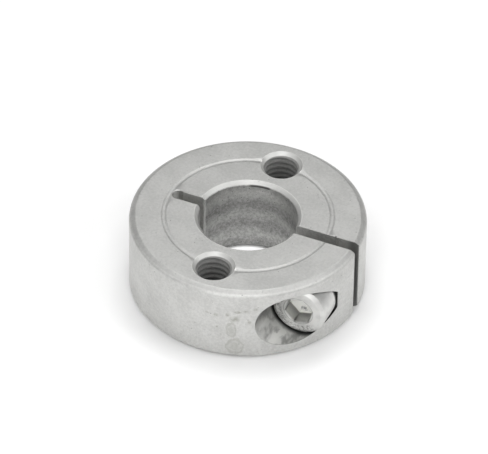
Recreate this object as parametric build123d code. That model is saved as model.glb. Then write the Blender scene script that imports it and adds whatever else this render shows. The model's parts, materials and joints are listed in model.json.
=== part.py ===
from build123d import *
import math
import os

# Semi-split clamping shaft collar.  Sizes are in millimetres.
#
# The collar is one turned ring.  A slot cuts it through on +X and a shorter relief slot runs
# from the bore towards -X, so the web left outside the relief slot bends when the clamp screw
# closes the main slot.  The ring is written as two jaws that meet face to face in that web,
# and the screw-side jaw swings about the drilled round end of the relief slot.
#
# Origin: centre of the bore on the lower face.  +Z runs along the bore, +X points out through
# the main slot, and the clamp screw lies along Y with its head on the -Y side.

# turned ring
bore_diameter = 15.0
outer_diameter = 36.0
width = 13.0
# the outer chamfers are wider across the face than along the side
outer_chamfer_across = 0.9
outer_chamfer_along = 0.6
outer_chamfer_round = 0.6
bore_chamfer = 0.6
bore_chamfer_round = 0.15

# groove turned into the upper face on the pitch circle of the tapped holes
face_groove_width = 0.9
face_groove_depth = 0.12

# main slot and relief slot
slot_width = 1.8
slot_corner_radius = 0.3
relief_reach = 12.5
relief_end_diameter = 2.0
relief_corner_radius = 0.45
slot_edge_break = 0.12
# a nick that the slotting cutter left down the far wall of the main slot
nick_x = 14.0
nick_radius = 0.14

# two tapped through holes in the face, on an axis at right angles to the main slot
face_thread_diameter = 6.0
face_thread_pitch = 1.0
face_thread_start_angle = 120.0
face_drill_diameter = 5.0
face_countersink_diameter = 6.5
pitch_circle_diameter = (bore_diameter + outer_diameter) / 2

# clamp screw, a hexagon socket head cap screw M5 x 12
screw_x = 12.8
screw_z = 6.7
screw_diameter = 5.0
screw_pitch = 0.8
screw_length = 12.0
screw_root_diameter = 3.75
screw_tip_chamfer = 0.65
head_diameter = 8.5
head_height = 5.0
# each edge of the head is a bevel, given as its width across the radius and along the axis
head_rim_bevel = (0.6, 0.4)
head_foot_bevel = (0.25, 0.6)
head_bevel_round = 0.2
socket_across_flats = 4.0
socket_depth = 2.4
socket_edge_break = 0.15
socket_angle = -15.0

# holes for the clamp screw, measured from the slot's middle plane
seat_depth = 5.4
counterbore_diameter = 9.2
clearance_diameter = 5.5
jaw_drill_diameter = 4.2

# radial play between the two clamp threads, so that the swinging jaw never binds
thread_play = 0.2

# 60 degree thread: the flat at the major diameter, and how far a cutter passes the surface
# that it starts from, are these shares of the pitch
thread_flat_share = 1 / 8
thread_overcut_share = 1 / 5
thread_flank = math.tan(math.radians(30))

# the screw's shank is plain for this many pitches under the head
plain_pitches = 2

# how far a cutting tool runs past the surface that it leaves
overrun = 1.0

bore_radius = bore_diameter / 2
outer_radius = outer_diameter / 2
relief_end_radius = relief_end_diameter / 2
hinge_x = relief_end_radius - relief_reach
screw_axis = Plane(origin=(screw_x, 0, screw_z), x_dir=(1, 0, 0), z_dir=(0, 1, 0))


def rounded(section, corners, radius):
    """The section with the corners at these points of the XZ plane rounded."""
    picked = [v for v in section.vertices() if (round(v.X, 3), round(v.Z, 3)) in corners]
    return fillet(picked, radius)


def ring_blank():
    """The turned ring, with tumbled chamfers at its four circular edges."""
    out_low, out_high = outer_chamfer_along, width - outer_chamfer_along
    in_low, in_high = bore_chamfer, width - bore_chamfer
    out_face, in_face = outer_radius - outer_chamfer_across, bore_radius + bore_chamfer
    outside = [(out_face, 0), (outer_radius, out_low), (outer_radius, out_high), (out_face, width)]
    inside = [(in_face, width), (bore_radius, in_high), (bore_radius, in_low), (in_face, 0)]
    outline = Polyline(*[(x, 0, z) for x, z in outside + inside], close=True)
    section = rounded(make_face(outline), outside, outer_chamfer_round)
    section = rounded(section, inside, bore_chamfer_round)
    return revolve(section, Axis.Z)


def face_groove():
    """The ring groove: a round-bottomed channel in the upper face."""
    half = face_groove_width / 2
    middle = pitch_circle_diameter / 2
    edge_in, edge_out = (middle - half, 0, width), (middle + half, 0, width)
    floor = ThreePointArc(edge_in, (middle, 0, width - face_groove_depth), edge_out)
    return revolve(make_face(floor + Line(edge_out, edge_in)), Axis.Z)


def slots():
    """Both slots seen from above: the main one out through +X, the relief slot to -X."""
    main = Pos(outer_radius / 2, 0) * Rectangle(outer_radius + overrun, slot_width)
    relief = Pos(hinge_x / 2, 0) * Rectangle(-hinge_x, slot_width)
    return main + relief + Pos(hinge_x, 0) * Circle(relief_end_radius)


def corners_of(plan, x_sign, radius):
    """The two corners where a slot's walls meet the bore or the outside."""
    reach = math.sqrt(radius**2 - (slot_width / 2) ** 2)
    return [v for v in plan.vertices() if abs(v.X - x_sign * reach) < 0.01]


def slotted_plan():
    """The ring seen from above, with both slots cut and their corners rounded."""
    plan = Circle(outer_radius) - Circle(bore_radius) - slots()
    plan = fillet(corners_of(plan, 1, outer_radius), slot_corner_radius)
    plan = fillet(corners_of(plan, 1, bore_radius), slot_corner_radius)
    return fillet(corners_of(plan, -1, bore_radius), relief_corner_radius)


def slot_edge_breaks():
    """What deburring takes off the slots' long edges, at the upper and the lower face."""
    upper = extrude(Pos(0, 0, width - slot_edge_break) * slots(), slot_edge_break, taper=-45)
    return [upper, mirror(upper, about=Plane.XY.offset(width / 2))]


def split_ring():
    """The grooved ring with both slots cut and deburred."""
    ring = (ring_blank() - face_groove()) & extrude(slotted_plan(), width)
    nick = Pos(nick_x, slot_width / 2, width / 2) * Cylinder(nick_radius, width + 2 * overrun)
    return ring - slot_edge_breaks() - nick


def half_of(ring, side):
    """The half of the ring on the +Y side (side = 1) or the -Y side (side = -1)."""
    size = outer_diameter + 2 * overrun
    block = Box(size, size, width + 2 * overrun, align=(Align.CENTER, Align.MIN, Align.CENTER))
    turn = 0 if side > 0 else 180
    return ring & (Pos(0, 0, width / 2) * Rot(0, 0, turn) * block)


def thread_turn(inner, outer, half_at_inner, half_at_outer, pitch):
    """One turn of a right-hand helical channel round +Z, from radius inner to outer."""
    corners = [
        (inner, 0, -half_at_inner),
        (outer, 0, -half_at_outer),
        (outer, 0, half_at_outer),
        (inner, 0, half_at_inner),
    ]
    section = make_face(Polyline(*corners, close=True))
    return sweep(section, path=Helix(pitch, pitch, (inner + outer) / 2), is_frenet=True)


def stacked(turn, pitch, start, count):
    """Turns of one thread end to end along +Z, the first centred on the height start."""
    return [Pos(0, 0, start + k * pitch) * turn for k in range(count)]


def inside_thread(drill_diameter, diameter, pitch, start, count):
    """The channel that a tap cuts into the wall of a drilled hole."""
    inner, outer = drill_diameter / 2 - pitch * thread_overcut_share, diameter / 2
    half_outer = pitch * thread_flat_share / 2
    half_inner = half_outer + (outer - inner) * thread_flank
    return stacked(thread_turn(inner, outer, half_inner, half_outer, pitch), pitch, start, count)


def outside_thread(root_diameter, crest_diameter, pitch, start, count):
    """The channel that a die cuts into a round shank."""
    inner, outer = root_diameter / 2, crest_diameter / 2 + pitch * thread_overcut_share
    crest_gap = pitch * (1 - thread_flat_share) / 2
    half_outer = crest_gap + (outer - crest_diameter / 2) * thread_flank
    half_inner = crest_gap - (crest_diameter / 2 - inner) * thread_flank
    return stacked(thread_turn(inner, outer, half_inner, half_outer, pitch), pitch, start, count)


def face_hole(jaw, side):
    """The jaw with its through hole drilled, countersunk at both faces and tapped."""
    drill = face_drill_diameter / 2
    depth = (face_countersink_diameter - face_drill_diameter) / 2
    place = Pos(0, side * pitch_circle_diameter / 2, 0)
    high, low = face_countersink_diameter / 2, drill
    upper = Pos(0, 0, width - depth / 2) * Cone(low, high, depth)
    lower = Pos(0, 0, depth / 2) * Cone(high, low, depth)
    hole = Pos(0, 0, width / 2) * Cylinder(drill, width + 2 * overrun)
    jaw = jaw - place * (hole + upper + lower)
    turns = math.ceil((width + 2 * face_thread_pitch) / face_thread_pitch)
    channel = inside_thread(
        face_drill_diameter, face_thread_diameter, face_thread_pitch, -face_thread_pitch, turns
    )
    place = place * Rot(0, 0, face_thread_start_angle)
    return jaw - [place * turn for turn in channel]


def drilled(diameter, start, end):
    """A round tool on the clamp screw's axis, from y = start to y = end."""
    length = end - start
    return screw_axis * (Pos(0, 0, (start + end) / 2) * Cylinder(diameter / 2, length))


def threaded_jaw(ring):
    """The jaw that the clamp screw threads into.  It also holds the tapped hole on +Y."""
    jaw = face_hole(half_of(ring, 1), 1)
    jaw = jaw - drilled(jaw_drill_diameter, 0, outer_radius)
    exit_y = math.sqrt(outer_radius**2 - (screw_x - screw_diameter / 2) ** 2)
    turns = math.ceil(exit_y / screw_pitch) + 1
    channel = inside_thread(jaw_drill_diameter, screw_diameter, screw_pitch, 0, turns)
    return jaw - [screw_axis * turn for turn in channel]


def screw_side_jaw(ring):
    """The jaw that the screw's head pulls on, with its counterbore and clearance hole."""
    jaw = face_hole(half_of(ring, -1), -1)
    jaw = jaw - drilled(counterbore_diameter, -outer_radius, -seat_depth)
    return jaw - drilled(clearance_diameter, -seat_depth - overrun, 0)


def screw_blank():
    """The turned screw along +Z: its seat at z = 0, its head below and its shank above."""
    head, shank = head_diameter / 2, screw_diameter / 2 - thread_play
    rim_across, rim_along = head_rim_bevel
    foot_across, foot_along = head_foot_bevel
    rim = [(head - rim_across, -head_height), (head, rim_along - head_height)]
    foot = [(head, -foot_along), (head - foot_across, 0)]
    tip = [(shank, screw_length - screw_tip_chamfer), (shank - screw_tip_chamfer, screw_length)]
    corners = [(0, -head_height), *rim, *foot, (shank, 0), *tip, (0, screw_length)]
    section = make_face(Polyline(*[(x, 0, z) for x, z in corners], close=True))
    corners_to_round = [(round(x, 3), round(z, 3)) for x, z in rim + foot[:1]]
    return revolve(rounded(section, corners_to_round, head_bevel_round), Axis.Z)


def hex_socket():
    """The hexagon socket: a flat-bottomed prism with a bevelled mouth."""
    corner_radius = socket_across_flats / math.sqrt(3)
    mouth_radius = (socket_across_flats + 2 * socket_edge_break) / math.sqrt(3)
    turn = Rot(0, 0, socket_angle)
    prism = extrude(turn * RegularPolygon(corner_radius, 6), socket_depth)
    mouth = extrude(turn * RegularPolygon(mouth_radius, 6), socket_edge_break, taper=45)
    return Pos(0, 0, -head_height) * (prism + mouth)


def clamp_screw():
    """The M5 cap screw, in place with its head on the counterbore's floor."""
    crest = screw_diameter - 2 * thread_play
    # the jaw's channel starts at y = 0, and half a pitch off it the two threads interleave
    pitches_to_start = math.ceil(plain_pitches - seat_depth / screw_pitch) + 1 / 2
    start = seat_depth + pitches_to_start * screw_pitch
    turns = math.ceil((screw_length - start) / screw_pitch) + 1
    channel = outside_thread(screw_root_diameter, crest, screw_pitch, start, turns)
    screw = screw_blank() - hex_socket() - channel
    return screw_axis * Pos(0, 0, -seat_depth) * screw


os.makedirs("parts", exist_ok=True)
split = split_ring()
nodes = {
    "threaded_jaw": threaded_jaw(split),
    "screw_side_jaw": screw_side_jaw(split),
    "clamp_screw": clamp_screw(),
}
for name, piece in nodes.items():
    export_step(piece, f"parts/{name}.step")
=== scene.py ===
"""Looks of the semi-split shaft collar: one tumbled steel ring and its socket cap screw.

Everything is in metres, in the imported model's frame: +Z along the bore, +X out through the
main slot, the clamp screw along Y with its head on the -Y side.
"""

import json
import math
from types import SimpleNamespace

import bmesh
import bpy
from mathutils import Matrix, Vector


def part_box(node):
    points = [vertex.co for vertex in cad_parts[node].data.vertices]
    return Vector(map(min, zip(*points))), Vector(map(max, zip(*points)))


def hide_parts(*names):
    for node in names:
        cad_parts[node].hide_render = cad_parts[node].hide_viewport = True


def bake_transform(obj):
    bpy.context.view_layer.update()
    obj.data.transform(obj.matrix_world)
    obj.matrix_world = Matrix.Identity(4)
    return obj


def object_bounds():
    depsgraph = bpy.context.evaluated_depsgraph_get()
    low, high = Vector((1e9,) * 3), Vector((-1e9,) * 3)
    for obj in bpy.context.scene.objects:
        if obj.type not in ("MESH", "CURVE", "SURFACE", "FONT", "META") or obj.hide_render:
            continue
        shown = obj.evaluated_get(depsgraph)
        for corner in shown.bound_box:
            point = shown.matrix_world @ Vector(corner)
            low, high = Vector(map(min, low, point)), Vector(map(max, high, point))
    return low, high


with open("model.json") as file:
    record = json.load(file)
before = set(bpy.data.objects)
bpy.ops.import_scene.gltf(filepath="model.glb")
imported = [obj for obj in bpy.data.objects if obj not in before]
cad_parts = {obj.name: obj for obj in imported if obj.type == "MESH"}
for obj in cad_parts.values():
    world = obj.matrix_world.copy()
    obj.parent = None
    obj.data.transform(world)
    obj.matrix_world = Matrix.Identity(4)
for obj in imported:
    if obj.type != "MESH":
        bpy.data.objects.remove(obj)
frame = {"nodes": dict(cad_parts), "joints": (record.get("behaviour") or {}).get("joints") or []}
cad_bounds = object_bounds()

MM = 0.001
low_corner, high_corner = cad_bounds
WIDTH = high_corner.z - low_corner.z
OUTER_RADIUS = -low_corner.x
hinge = Vector(frame["joints"][0]["pos_m"])
screw_low, screw_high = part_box("clamp_screw")

# the collar's own features, in millimetres, where its finish and the light and shade painted on it
# change
TOP = WIDTH / MM
SIDE_RADIUS = OUTER_RADIUS / MM
BORE_RADIUS = 7.5
BORE_CHAMFER = 0.65
OUTER_CHAMFER = 0.8
HOLE_CIRCLE_RADIUS = 12.75
COUNTERSINK_RADIUS = 3.28
COUNTERSINK_DEPTH = 0.5
THREAD_RADIUS = 3.1
SLOT_WIDTH = 1.8
RELIEF_END_X = -12.5
COUNTERBORE_RADIUS = 4.6
BORING_RING_PITCH = 3.95
BORING_RING_START = 2.9

# the clamp screw's axis, and places measured from that axis or from the head's face
SCREW_X = (screw_low.x + screw_high.x) / 2 / MM
SCREW_Z = (screw_low.z + screw_high.z) / 2 / MM
SOCKET_FLAT_ANGLE = 45.0
SOCKET_RADIUS = 2.4
SOCKET_FLOOR_DEPTH = 2.3
SOCKET_DIRT_BELOW_AXIS = 1.35
HEAD_RIM_RADIUS = 2.9
HEAD_FOOT_DEPTH = 4.35

# marks on the outside, each as its centre (arc from -Y, height), half width and half height
DRIPS = [((4.9, 5.6), 0.8, 1.4), ((5.5, 2.4), 1.3, 1.4)]
SMUDGES = [
    ((2.6, 8.3), 0.45, 0.45), ((4.4, 8.6), 0.40, 0.45), ((5.4, 7.9), 1.10, 0.75),
    ((5.9, 9.3), 0.75, 0.30), ((7.2, 9.5), 0.55, 0.30), ((8.6, 9.9), 0.50, 0.35),
    ((7.7, 7.4), 0.45, 0.50), ((2.8, 6.0), 0.30, 0.30), ((1.2, 8.5), 0.35, 0.30),
]


# ---------------------------------------------------------------- shapes

def joined_copy(name, node_names):
    """One new mesh object with the faces of several CAD nodes, welded where they meet."""
    merged = bmesh.new()
    for node_name in node_names:
        merged.from_mesh(frame["nodes"][node_name].data)
    bmesh.ops.remove_doubles(merged, verts=merged.verts, dist=0.002 * MM)
    mesh = bpy.data.meshes.new(name)
    merged.to_mesh(mesh)
    merged.free()
    piece = bpy.data.objects.new(name, mesh)
    bpy.context.scene.collection.objects.link(piece)
    return piece


def open_web(piece, web_reach):
    """Deletes the two coincident faces inside the web, where the jaws meet face to face."""
    work = bmesh.new()
    work.from_mesh(piece.data)
    flat = 0.001 * MM
    inside = [
        f for f in work.faces
        if all(abs(v.co.y) < flat and v.co.x < web_reach for v in f.verts)
    ]
    bmesh.ops.delete(work, geom=inside, context="FACES")
    bmesh.ops.remove_doubles(work, verts=work.verts, dist=0.002 * MM)
    work.to_mesh(piece.data)
    work.free()


def smooth_with_sharp_edges(piece, angle):
    """Smooth shading, broken at edges that turn by more than the angle in degrees."""
    work = bmesh.new()
    work.from_mesh(piece.data)
    limit = math.radians(angle)
    for face in work.faces:
        face.smooth = True
    for edge in work.edges:
        turn = edge.calc_face_angle(0.0) if len(edge.link_faces) == 2 else math.pi
        edge.smooth = turn < limit
    work.to_mesh(piece.data)
    work.free()
    weighted = piece.modifiers.new("flat_faces_stay_flat", "WEIGHTED_NORMAL")
    weighted.keep_sharp = True
    weighted.mode = "FACE_AREA"
    weighted.weight = 100


# ------------------------------------------------------------- materials

class Shader:
    """A material's node tree, with one short call for each kind of node.  Lengths are in mm."""

    def __init__(self, name):
        self.material = bpy.data.materials.new(name)
        self.material.use_nodes = True
        self.nodes = self.material.node_tree.nodes
        self.links = self.material.node_tree.links
        self.principled = self.nodes["Principled BSDF"]
        place = self.nodes.new("ShaderNodeTexCoord").outputs["Object"]
        scale = self.nodes.new("ShaderNodeVectorMath")
        scale.operation = "SCALE"
        scale.inputs["Scale"].default_value = 1 / MM
        self.links.new(place, scale.inputs[0])
        self.place = scale.outputs["Vector"]
        split = self.nodes.new("ShaderNodeSeparateXYZ")
        self.links.new(self.place, split.inputs["Vector"])
        self.x, self.y, self.z = split.outputs

    def put(self, value, socket):
        """Links an output to a socket, or sets the socket to a plain value."""
        if isinstance(value, bpy.types.NodeSocket):
            self.links.new(value, socket)
        else:
            socket.default_value = value

    def math(self, operation, a, b=0.0):
        node = self.nodes.new("ShaderNodeMath")
        node.operation = operation
        self.put(a, node.inputs[0])
        self.put(b, node.inputs[1])
        return node.outputs["Value"]

    def add(self, a, b):
        return self.math("ADD", a, b)

    def subtract(self, a, b):
        return self.math("SUBTRACT", a, b)

    def times(self, first, *others):
        for other in others:
            first = self.math("MULTIPLY", first, other)
        return first

    def either(self, first, *others):
        """The largest of several masks."""
        for other in others:
            first = self.math("MAXIMUM", first, other)
        return first

    def absolute(self, a):
        return self.math("ABSOLUTE", a)

    def distance(self, a, b):
        """Length of the vector (a, b)."""
        return self.math("SQRT", self.add(self.times(a, a), self.times(b, b)))

    def remap(self, value, low, high, to_low=0.0, to_high=1.0):
        """A smooth step from to_low at the value low to to_high at the value high."""
        node = self.nodes.new("ShaderNodeMapRange")
        node.interpolation_type = "SMOOTHSTEP"
        self.put(value, node.inputs["Value"])
        node.inputs["From Min"].default_value = low
        node.inputs["From Max"].default_value = high
        node.inputs["To Min"].default_value = to_low
        node.inputs["To Max"].default_value = to_high
        return node.outputs["Result"]

    def below(self, value, limit, soft=0.1):
        """A mask: 1 where the value is under the limit, 0 where it is over limit + soft."""
        return self.remap(value, limit, limit + soft, 1.0, 0.0)

    def above(self, value, limit, soft=0.1):
        return self.remap(value, limit - soft, limit)

    def vector(self, x, y, z=0.0):
        node = self.nodes.new("ShaderNodeCombineXYZ")
        for value, socket in zip((x, y, z), node.inputs):
            self.put(value, socket)
        return node.outputs["Vector"]

    def turned(self, vector, degrees, scale):
        """The vector turned about its third axis, then scaled axis by axis."""
        turn = self.nodes.new("ShaderNodeMapping")
        turn.inputs["Rotation"].default_value = (0, 0, math.radians(degrees))
        self.links.new(vector, turn.inputs["Vector"])
        stretch = self.nodes.new("ShaderNodeMapping")
        stretch.inputs["Scale"].default_value = scale
        self.links.new(turn.outputs["Vector"], stretch.inputs["Vector"])
        return stretch.outputs["Vector"]

    def noise(self, size, detail=4.0, rough=0.55, distort=0.0, at=None):
        """Noise from 0 to 1 whose blobs are about this size across."""
        node = self.nodes.new("ShaderNodeTexNoise")
        self.links.new(at or self.place, node.inputs["Vector"])
        node.inputs["Scale"].default_value = 1 / size
        node.inputs["Detail"].default_value = detail
        node.inputs["Roughness"].default_value = rough
        node.inputs["Distortion"].default_value = distort
        return node.outputs["Fac"]

    def specks(self, spacing, radius, at=None):
        """A mask of round spots: one in each cell, of a radius given in cell sizes."""
        node = self.nodes.new("ShaderNodeTexVoronoi")
        self.links.new(at or self.place, node.inputs["Vector"])
        node.inputs["Scale"].default_value = 1 / spacing
        return self.below(node.outputs["Distance"], radius, radius)

    def scratches(self, plane, degrees, length, width, share):
        """A mask of fine lines at one angle in a plane; a larger share gives more of them."""
        lines = self.turned(plane, degrees, (1 / length, 1 / width, 1.0))
        return self.remap(self.noise(1.0, detail=1.0, rough=0.3, at=lines), 1 - share, 1.04 - share)

    def blend(self, share, a, b):
        """Colour a where share is 0 and colour b where it is 1."""
        node = self.nodes.new("ShaderNodeMix")
        node.data_type = "RGBA"
        self.put(share, node.inputs[0])
        self.put(a, node.inputs[6])
        self.put(b, node.inputs[7])
        return node.outputs[2]

    def bump(self, height, depth):
        node = self.nodes.new("ShaderNodeBump")
        node.inputs["Distance"].default_value = depth * MM
        self.put(height, node.inputs["Height"])
        self.put(node.outputs["Normal"], self.principled.inputs["Normal"])


def grey(level, warmth=0.012):
    """A linear colour near grey; warmth above 0 is yellower."""
    return (level, level, level * (1 - warmth * 2), 1.0)


def ring_zones(s):
    """Where a point lies on the ring, and a mask for each surface with its own finish."""
    radius = s.distance(s.x, s.y)
    hole_radius = s.distance(s.x, s.subtract(s.absolute(s.y), HOLE_CIRCLE_RADIUS))
    screw_radius = s.distance(s.subtract(s.x, SCREW_X), s.subtract(s.z, SCREW_Z))
    upper_rim = s.above(s.z, TOP - COUNTERSINK_DEPTH)
    countersunk = s.below(hole_radius, COUNTERSINK_RADIUS, 0.05)
    inside_hole = s.times(s.below(s.z, TOP - 0.52, 0.05), s.above(s.z, 0.55, 0.05))
    cut = s.below(s.absolute(s.y), SLOT_WIDTH / 2 + 0.02, 0.05)
    inside_ring = s.below(radius, SIDE_RADIUS - 0.1, 0.05)
    counterbored = s.below(screw_radius, COUNTERBORE_RADIUS, 0.05)
    return SimpleNamespace(
        radius=radius,
        bore=s.below(radius, BORE_RADIUS + 0.05, 0.1),
        bore_chamfer=s.times(s.below(radius, BORE_RADIUS + BORE_CHAMFER), s.above(s.z, TOP - 0.55)),
        outer_chamfer=s.times(s.above(radius, SIDE_RADIUS - OUTER_CHAMFER), upper_rim),
        outside=s.above(radius, SIDE_RADIUS - 0.3),
        countersinks=s.times(countersunk, upper_rim),
        threads=s.times(s.below(hole_radius, THREAD_RADIUS), inside_hole),
        slots=s.times(cut, s.above(radius, BORE_RADIUS + 0.1), s.above(s.x, RELIEF_END_X)),
        pocket=s.times(counterbored, inside_ring, s.below(s.y, -1.0)),
    )


def spot(s, arc, wobble, centre, half_width, half_height):
    """Distance from a mark's centre, in half sizes of the mark, with an uneven outline."""
    across = s.times(s.subtract(arc, centre[0]), 1 / half_width)
    along = s.times(s.subtract(s.z, centre[1]), 1 / half_height)
    return s.add(s.distance(across, along), wobble)


def drip_mark(s, reach):
    """The soft outline and darker middle that a drop leaves as it dries."""
    line = s.below(s.absolute(s.subtract(reach, 0.95)), 0.02, 0.22)
    return s.add(s.times(line, 0.5), s.times(s.below(reach, 0.35, 0.65), 0.4))


def stains(s, arc, outside):
    """Dried drips and dark smudges on the front of the ring."""
    wobble = s.times(s.subtract(s.noise(0.9, detail=4.0, rough=0.6), 0.5), 1.3)
    patchy = s.remap(s.noise(0.45, detail=3.0, rough=0.7), 0.35, 0.60, 0.25, 1.0)
    drips = [drip_mark(s, spot(s, arc, wobble, *drip)) for drip in DRIPS]
    smudges = [s.below(spot(s, arc, wobble, *smudge), 0.2, 0.9) for smudge in SMUDGES]
    return s.times(s.either(*drips, s.times(s.either(*smudges), patchy)), outside)


def unrolled(s, zone, arc, flat):
    """A surface's own plane: x and y on the faces, arc and height in the bore and outside."""
    curved = s.subtract(1.0, flat)
    across = s.add(s.times(curved, arc), s.times(flat, s.x))
    along = s.add(s.times(curved, s.z), s.times(flat, s.y))
    apart = s.times(curved, 30.0)
    return s.vector(across, along, apart)


def fine_scuffs(s, plane):
    """Scratches in three directions, each as its angle, length, width and share."""
    directions = ((20, 3.0, 0.07, 0.27), (-35, 2.0, 0.06, 0.26), (75, 2.5, 0.06, 0.25))
    return s.either(*[s.scratches(plane, *direction) for direction in directions])


def boring_rings(s):
    """Faint uneven rings that the boring tool left along the bore, from -1 to 1."""
    height = s.add(s.z, s.times(s.subtract(s.noise(2.5, detail=2.0), 0.5), 1.6))
    turns = s.times(s.subtract(height, BORING_RING_START), 2 * math.pi / BORING_RING_PITCH)
    return s.math("COSINE", turns)


def bore_residue_and_painted_shade(s, rings, grain):
    """Dark residue in the bore, with painted shade that is darker further in and lightest near
    its top, a dark line under the upper chamfer at the back, and a darker patch beside the main
    slot."""
    dirt = s.add(s.times(rings, -0.10), s.times(grain, 0.26))
    at_back = s.times(s.above(s.y, 0.0), s.below(s.absolute(s.add(s.x, 1.2)), 1.2, 1.0))
    line = s.times(s.above(s.z, 12.2, 0.12), at_back)
    by_slot = s.times(s.above(s.x, 5.0), s.below(s.absolute(s.subtract(s.y, 1.6)), 0.4, 1.5))
    patch = s.times(by_slot, s.above(s.z, 6.0, 3.0), s.below(s.z, 9.0, 3.0))
    return s.either(
        # painted shade: darker further into the bore, lightest near its top
        s.add(dirt, s.remap(s.z, 8.0, 11.5, 0.34, 0.15)),
        s.times(s.specks(0.7, 0.09), 0.8),
        s.times(line, 0.9),
        s.times(patch, 0.62),
    )


def slot_residue(s, grain):
    """Dark residue in the slots, and darker still towards where the main slot leaves the ring."""
    return s.either(
        s.times(s.above(s.x, 17.0, 2.0), 0.64),
        s.add(s.times(grain, 0.2), s.remap(s.x, -8.0, 8.0, -0.08, 0.13)),
    )


def pocket_darkening_and_painted_shade(s):
    """Darker places in the counterbore, at its top and at its far side, and painted shade under the
    screw's head.
    """
    return s.either(
        s.times(s.above(s.z, 7.5, 4.0), 0.62),
        s.times(s.below(s.x, SCREW_X - 3.6, 1.4), 0.22),
        # painted shade under the screw's head
        s.times(s.above(s.y, -9.6, 1.4), 0.97),
    )


def residue_and_painted_shade(s, zone, rings):
    """How much dark residue and painted shade lie on the ring's inner surfaces."""
    grain = s.remap(s.noise(0.5, detail=4.0, rough=0.8), 0.38, 0.62)
    return s.either(
        s.times(zone.bore, bore_residue_and_painted_shade(s, rings, grain)),
        s.times(zone.slots, slot_residue(s, grain)),
        # painted shade in the tapped holes, darker further down, together with their dark residue
        s.times(zone.threads, s.remap(s.z, 6.0, 12.0, 0.66, 0.46)),
        s.times(zone.pocket, pocket_darkening_and_painted_shade(s)),
    )


def cut_steel_and_painted_light(s, zone):
    """How much bright steel shows on the chamfers, in the slots and in the counterbore: partly
    bright cut steel and partly painted light.
    """
    return s.either(
        s.times(zone.countersinks, 0.4),
        s.times(zone.bore_chamfer, 0.35),
        s.times(zone.outer_chamfer, 0.10),
        s.times(zone.slots, 0.45),
        zone.pocket,
    )


def pocket_smears(s):
    """Uneven streaks down the counterbore's wall."""
    streaks = s.vector(s.x, s.times(s.y, 0.5), s.times(s.z, 0.7))
    return s.remap(s.noise(1.1, detail=3.0, rough=0.5, distort=0.4, at=streaks), 0.42, 0.68)


def tumbled_steel():
    """Vibratory-finished stainless steel: matt and finely grained, with pits and scratches,
    dark machining residue in the bore, slots and tapped holes, and dried drips outside.  It also
    has painted shade in the bore, the tapped holes and the counterbore and on everything but the
    bore and the outside, and painted light on the chamfers, in the slots and in the counterbore."""
    s = Shader("tumbled_steel")
    zone = ring_zones(s)
    arc = s.times(s.math("ARCTAN2", s.x, s.times(s.y, -1.0)), zone.radius)
    flat = s.subtract(1.0, s.either(zone.bore, zone.outside))

    clouds = s.noise(4.0, detail=4.0, rough=0.6)
    grain = s.noise(0.42, detail=3.0, rough=0.75)
    tone = s.add(s.times(clouds, 0.35), s.times(grain, 0.65))
    pits = s.times(s.specks(0.8, 0.07), s.remap(s.noise(2.4, detail=1.0), 0.50, 0.62))
    scuffs = fine_scuffs(s, unrolled(s, zone, arc, flat))
    rings = boring_rings(s)

    colour = s.blend(s.remap(tone, 0.34, 0.66), grey(0.51), grey(0.65))
    # painted shade: everything but the bore and the outside, chiefly the flat end faces, is made a
    # little darker
    colour = s.blend(s.times(flat, 0.17), colour, grey(0.2))
    # bright chamfers, slots and counterbore: partly cut steel, partly painted light
    colour = s.blend(cut_steel_and_painted_light(s, zone), colour, grey(0.88))
    colour = s.blend(s.times(zone.pocket, pocket_smears(s), 0.55), colour, grey(0.2))
    # dark residue, with painted shade in the bore, the tapped holes and the counterbore
    colour = s.blend(residue_and_painted_shade(s, zone, rings), colour, grey(0.06, 0.02))
    colour = s.blend(s.times(stains(s, arc, zone.outside), 0.5), colour, (0.20, 0.20, 0.15, 1.0))
    colour = s.blend(s.times(pits, 0.6), colour, grey(0.12))
    colour = s.blend(s.times(scuffs, 0.22), colour, grey(0.72))
    s.put(colour, s.principled.inputs["Base Color"])

    s.put(s.subtract(1.0, s.times(zone.threads, 0.5)), s.principled.inputs["Metallic"])
    fine = s.remap(grain, 0.3, 0.7, 0.50, 0.62)
    s.put(s.either(fine, s.times(zone.threads, 0.85)), s.principled.inputs["Roughness"])
    raised = s.add(s.times(grain, 0.8), s.times(rings, zone.bore, 0.3))
    sunk = s.add(s.times(pits, 1.2), s.times(scuffs, 0.3))
    s.bump(s.subtract(raised, sunk), 0.014)
    return s.material


def across_flats(s, across, up):
    """How far a point lies from the screw's axis towards the nearest flat of its socket."""
    flats = [math.radians(SOCKET_FLAT_ANGLE + 60 * i) for i in range(3)]
    return s.either(*[
        s.absolute(s.add(s.times(across, math.cos(a)), s.times(up, math.sin(a)))) for a in flats
    ])


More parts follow.
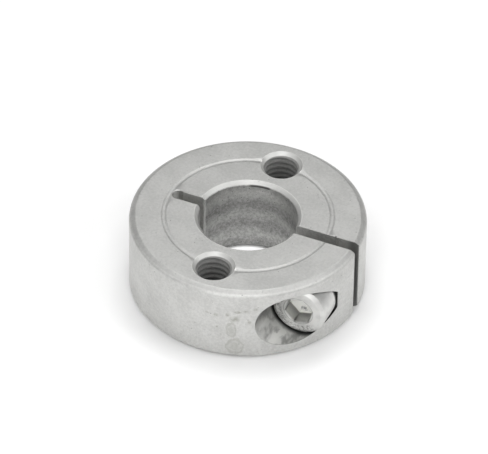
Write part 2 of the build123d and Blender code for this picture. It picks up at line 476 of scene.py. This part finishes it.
def socket_shade_dirt_and_light(s, across, up, radius, depth):
    """Painted shade on the socket's walls, darker with depth, and in its corners, and an uneven
    dirt spot on its floor.  Also gives the masks of the floor, which is painted bright as painted
    light, and of its edge, which stays bright as a painted highlight; both run on down the shank."""
    in_line = s.times(s.below(radius, SOCKET_RADIUS), s.above(depth, 0.25))
    wall = s.times(in_line, s.below(depth, SOCKET_FLOOR_DEPTH - 0.2, 0.2))
    floor_and_shank = s.times(in_line, s.above(depth, SOCKET_FLOOR_DEPTH, 0.2))
    # the floor's edge, kept bright as a painted highlight
    painted_highlight_edge = s.times(floor_and_shank, s.above(across_flats(s, across, up), 1.82, 0.1))
    wobble = s.times(s.subtract(s.noise(0.5, detail=2.0), 0.5), 1.4)
    from_spot = s.add(s.distance(across, s.add(up, SOCKET_DIRT_BELOW_AXIS)), wobble)
    grime_and_painted_shade = s.either(
        # painted shade: the walls darker with depth, and darker still in the corners
        s.times(wall, s.remap(depth, 0.4, 1.9, 0.10, 0.58)),
        s.times(wall, s.above(radius, 2.25, 0.08), 0.6),
        s.times(floor_and_shank, s.below(from_spot, 0.2, 0.35), 0.5),
    )
    return grime_and_painted_shade, floor_and_shank, painted_highlight_edge


def head_dents(s, across, up, radius, on_face):
    """Small dents and nicks on the lower left of the head's rim."""
    lower_left = s.below(s.add(across, up), -1.0, 2.0)
    rim = s.times(s.above(radius, HEAD_RIM_RADIUS, 0.4), on_face, lower_left)
    waves = s.noise(0.75, detail=2.0, rough=0.5)
    nicks = s.below(s.absolute(s.subtract(waves, 0.5)), 0.012, 0.03)
    return s.times(rim, s.either(nicks, s.remap(s.noise(0.38, detail=3.0, rough=0.6), 0.52, 0.60)))


def screw_steel():
    """Cold-headed stainless screw: smoother and brighter, scuffed on the rim, with painted shade on
    the socket's walls and corners, round its mouth and under the head, a dirt spot on the socket's
    floor, and the floor itself painted near white as painted light.  The outside of its shank comes
    out bright, like the floor of the socket."""
    s = Shader("screw_steel")
    across, up = s.subtract(s.x, SCREW_X), s.subtract(s.z, SCREW_Z)
    radius = s.distance(across, up)
    depth = s.subtract(s.y, screw_low.y / MM)
    on_face = s.below(depth, 0.35, 0.1)
    socket_shade_and_dirt, floor_and_shank, painted_highlight_edge = socket_shade_dirt_and_light(s, across, up, radius, depth)
    dents = head_dents(s, across, up, radius, on_face)
    # painted shade: a thin dark ring round the socket's mouth on the head's face
    painted_mouth_shade = s.times(s.below(s.absolute(s.subtract(radius, 2.38)), 0.03, 0.06), on_face)
    # painted shade on the screw beyond its head's foot, under the head
    painted_shade_behind_head = s.above(depth, HEAD_FOOT_DEPTH, 0.35)
    clouds = s.noise(2.0, detail=3.0, rough=0.5)
    grain = s.noise(0.2, detail=4.0, rough=0.6)

    colour = s.blend(s.remap(clouds, 0.35, 0.65), grey(0.56), grey(0.66))
    # painted light: the socket's floor, and the shank beyond it, near white
    colour = s.blend(floor_and_shank, colour, grey(0.98))
    # painted shade and dirt, left off the floor's bright edge
    grime_and_painted_shade = s.times(s.subtract(1.0, painted_highlight_edge), s.either(
        socket_shade_and_dirt,
        s.times(painted_mouth_shade, 0.4),
        s.times(painted_shade_behind_head, 0.9),
        s.times(dents, 0.45),
    ))
    colour = s.blend(grime_and_painted_shade, colour, grey(0.05))
    s.put(colour, s.principled.inputs["Base Color"])
    s.principled.inputs["Metallic"].default_value = 1.0
    fine = s.remap(grain, 0.3, 0.7, 0.36, 0.50)
    s.put(s.either(fine, s.times(floor_and_shank, 0.9)), s.principled.inputs["Roughness"])
    s.bump(s.subtract(s.times(grain, 0.5), s.times(dents, 3.0)), 0.02)
    return s.material


def floor_white():
    """A white table top with painted light: a faint glow that fades to nothing at the collar's
    edge, which paints a shadow round the collar, and a glowing patch under the bore that paints a
    pool of light there.
    """
    s = Shader("studio_white")
    white = s.blend(s.noise(180.0, detail=1.0), (0.90, 0.90, 0.90, 1), (0.92, 0.92, 0.92, 1))
    s.put(white, s.principled.inputs["Base Color"])
    s.principled.inputs["Roughness"].default_value = 0.9
    s.principled.inputs["Emission Color"].default_value = (1.0, 1.0, 1.0, 1.0)
    radius = s.distance(s.x, s.y)
    # a painted pool of light: the table glows under the bore
    emitter = s.times(s.below(radius, BORE_RADIUS - 0.2, 0.5), 0.65)
    # painted shadow: the table's glow fades to nothing at the collar's edge
    glow_with_painted_shadow = s.remap(radius, SIDE_RADIUS, SIDE_RADIUS + 7.0, 0.0, 0.09)
    s.put(s.add(emitter, glow_with_painted_shadow), s.principled.inputs["Emission Strength"])
    return s.material


# ---------------------------------------------------------------- pieces

def make_collar(steel):
    """The one-piece ring: both jaws joined through the web."""
    collar = joined_copy("collar_ring", ["threaded_jaw", "screw_side_jaw"])
    open_web(collar, hinge.x)
    smooth_with_sharp_edges(collar, 28)
    collar.data.materials.clear()
    collar.data.materials.append(steel)
    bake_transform(collar)
    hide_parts("threaded_jaw", "screw_side_jaw")
    return collar


def paint(node_name, material):
    piece = frame["nodes"][node_name]
    piece.data.materials.clear()
    piece.data.materials.append(material)


# ---------------------------------------------------------------- studio

FLOOR_HALF_SIZE = 1.5
# the table top lies just under the collar, so that the two faces don't coincide
FLOOR_HEIGHT = -0.02 * MM

LIGHT_DISTANCE = 0.6
LIGHT_SIZE = 0.3


def make_floor():
    mesh = bpy.data.meshes.new("floor")
    signs = ((-1, -1), (1, -1), (1, 1), (-1, 1))
    corners = [(i * FLOOR_HALF_SIZE, j * FLOOR_HALF_SIZE, FLOOR_HEIGHT) for i, j in signs]
    mesh.from_pydata(corners, [], [(0, 1, 2, 3)])
    floor = bpy.data.objects.new("floor", mesh)
    bpy.context.scene.collection.objects.link(floor)
    mesh.materials.append(floor_white())


def direction(azimuth, elevation):
    """The unit vector towards a place seen at these angles; azimuth 0 is the -Y side."""
    a, e = math.radians(azimuth), math.radians(elevation)
    return Vector((math.sin(a) * math.cos(e), -math.cos(a) * math.cos(e), math.sin(e)))


def softbox(name, azimuth, elevation, power):
    """A square area light that looks at the collar from a studio angle."""
    light = bpy.data.lights.new(name, "AREA")
    light.shape = "SQUARE"
    light.size = LIGHT_SIZE
    light.energy = power
    emitter = bpy.data.objects.new(name, light)
    bpy.context.scene.collection.objects.link(emitter)
    back = direction(azimuth, elevation)
    emitter.location = Vector((0, 0, WIDTH / 2)) + back * LIGHT_DISTANCE
    emitter.rotation_mode = "QUATERNION"
    emitter.rotation_quaternion = (-back).to_track_quat("-Z", "Y")


def make_world():
    world = bpy.data.worlds.new("studio_air")
    bpy.context.scene.world = world
    world.use_nodes = True
    background = world.node_tree.nodes["Background"]
    background.inputs["Color"].default_value = (1.0, 1.0, 1.0, 1.0)
    background.inputs["Strength"].default_value = 0.36


# the long lens, in units of the collar's outer radius, and the view that frames the collar
CAMERA_AZIMUTH = 23.03
CAMERA_ELEVATION = 41.43
CAMERA_DISTANCE = 41.39
CAMERA_AIM_HEIGHT = 0.3
CAMERA_AIM_RIGHT = -0.0326
CAMERA_AIM_UP = 0.2153
CAMERA_ROLL = 0.0151
LENS_PER_SENSOR = 10.0407


def make_camera():
    data = bpy.data.cameras.new("camera")
    data.sensor_width = 36.0
    data.lens = data.sensor_width * LENS_PER_SENSOR
    camera = bpy.data.objects.new("camera", data)
    bpy.context.scene.collection.objects.link(camera)
    azimuth = math.radians(CAMERA_AZIMUTH)
    back = direction(CAMERA_AZIMUTH, CAMERA_ELEVATION)
    right = Vector((math.cos(azimuth), math.sin(azimuth), 0))
    up = back.cross(right)
    aim = Vector((0, 0, CAMERA_AIM_HEIGHT))
    place = aim + back * CAMERA_DISTANCE
    target = aim + right * CAMERA_AIM_RIGHT + up * CAMERA_AIM_UP
    forward = (target - place).normalized()
    side = forward.cross(Vector((0, 0, 1))).normalized()
    top = side.cross(forward)
    side_rolled = side * math.cos(CAMERA_ROLL) + top * math.sin(CAMERA_ROLL)
    top_rolled = top * math.cos(CAMERA_ROLL) - side * math.sin(CAMERA_ROLL)
    turn = Matrix((side_rolled, top_rolled, -forward)).transposed()
    camera.matrix_world = Matrix.Translation(place * OUTER_RADIUS) @ turn.to_4x4()
    data.clip_start = 0.01
    data.clip_end = 10.0
    bpy.context.scene.camera = camera


make_camera()
make_world()
make_floor()
softbox("front_top", azimuth=CAMERA_AZIMUTH, elevation=50, power=1.0)
softbox("back_top", azimuth=CAMERA_AZIMUTH + 180, elevation=72, power=1.35)
softbox("right", azimuth=CAMERA_AZIMUTH + 75, elevation=36, power=0.8)
softbox("left", azimuth=CAMERA_AZIMUTH - 80, elevation=46, power=0.35)
softbox("front_low", azimuth=0, elevation=12, power=0.9)
bpy.context.scene.view_settings.view_transform = "Standard"

make_collar(tumbled_steel())
paint("clamp_screw", screw_steel())
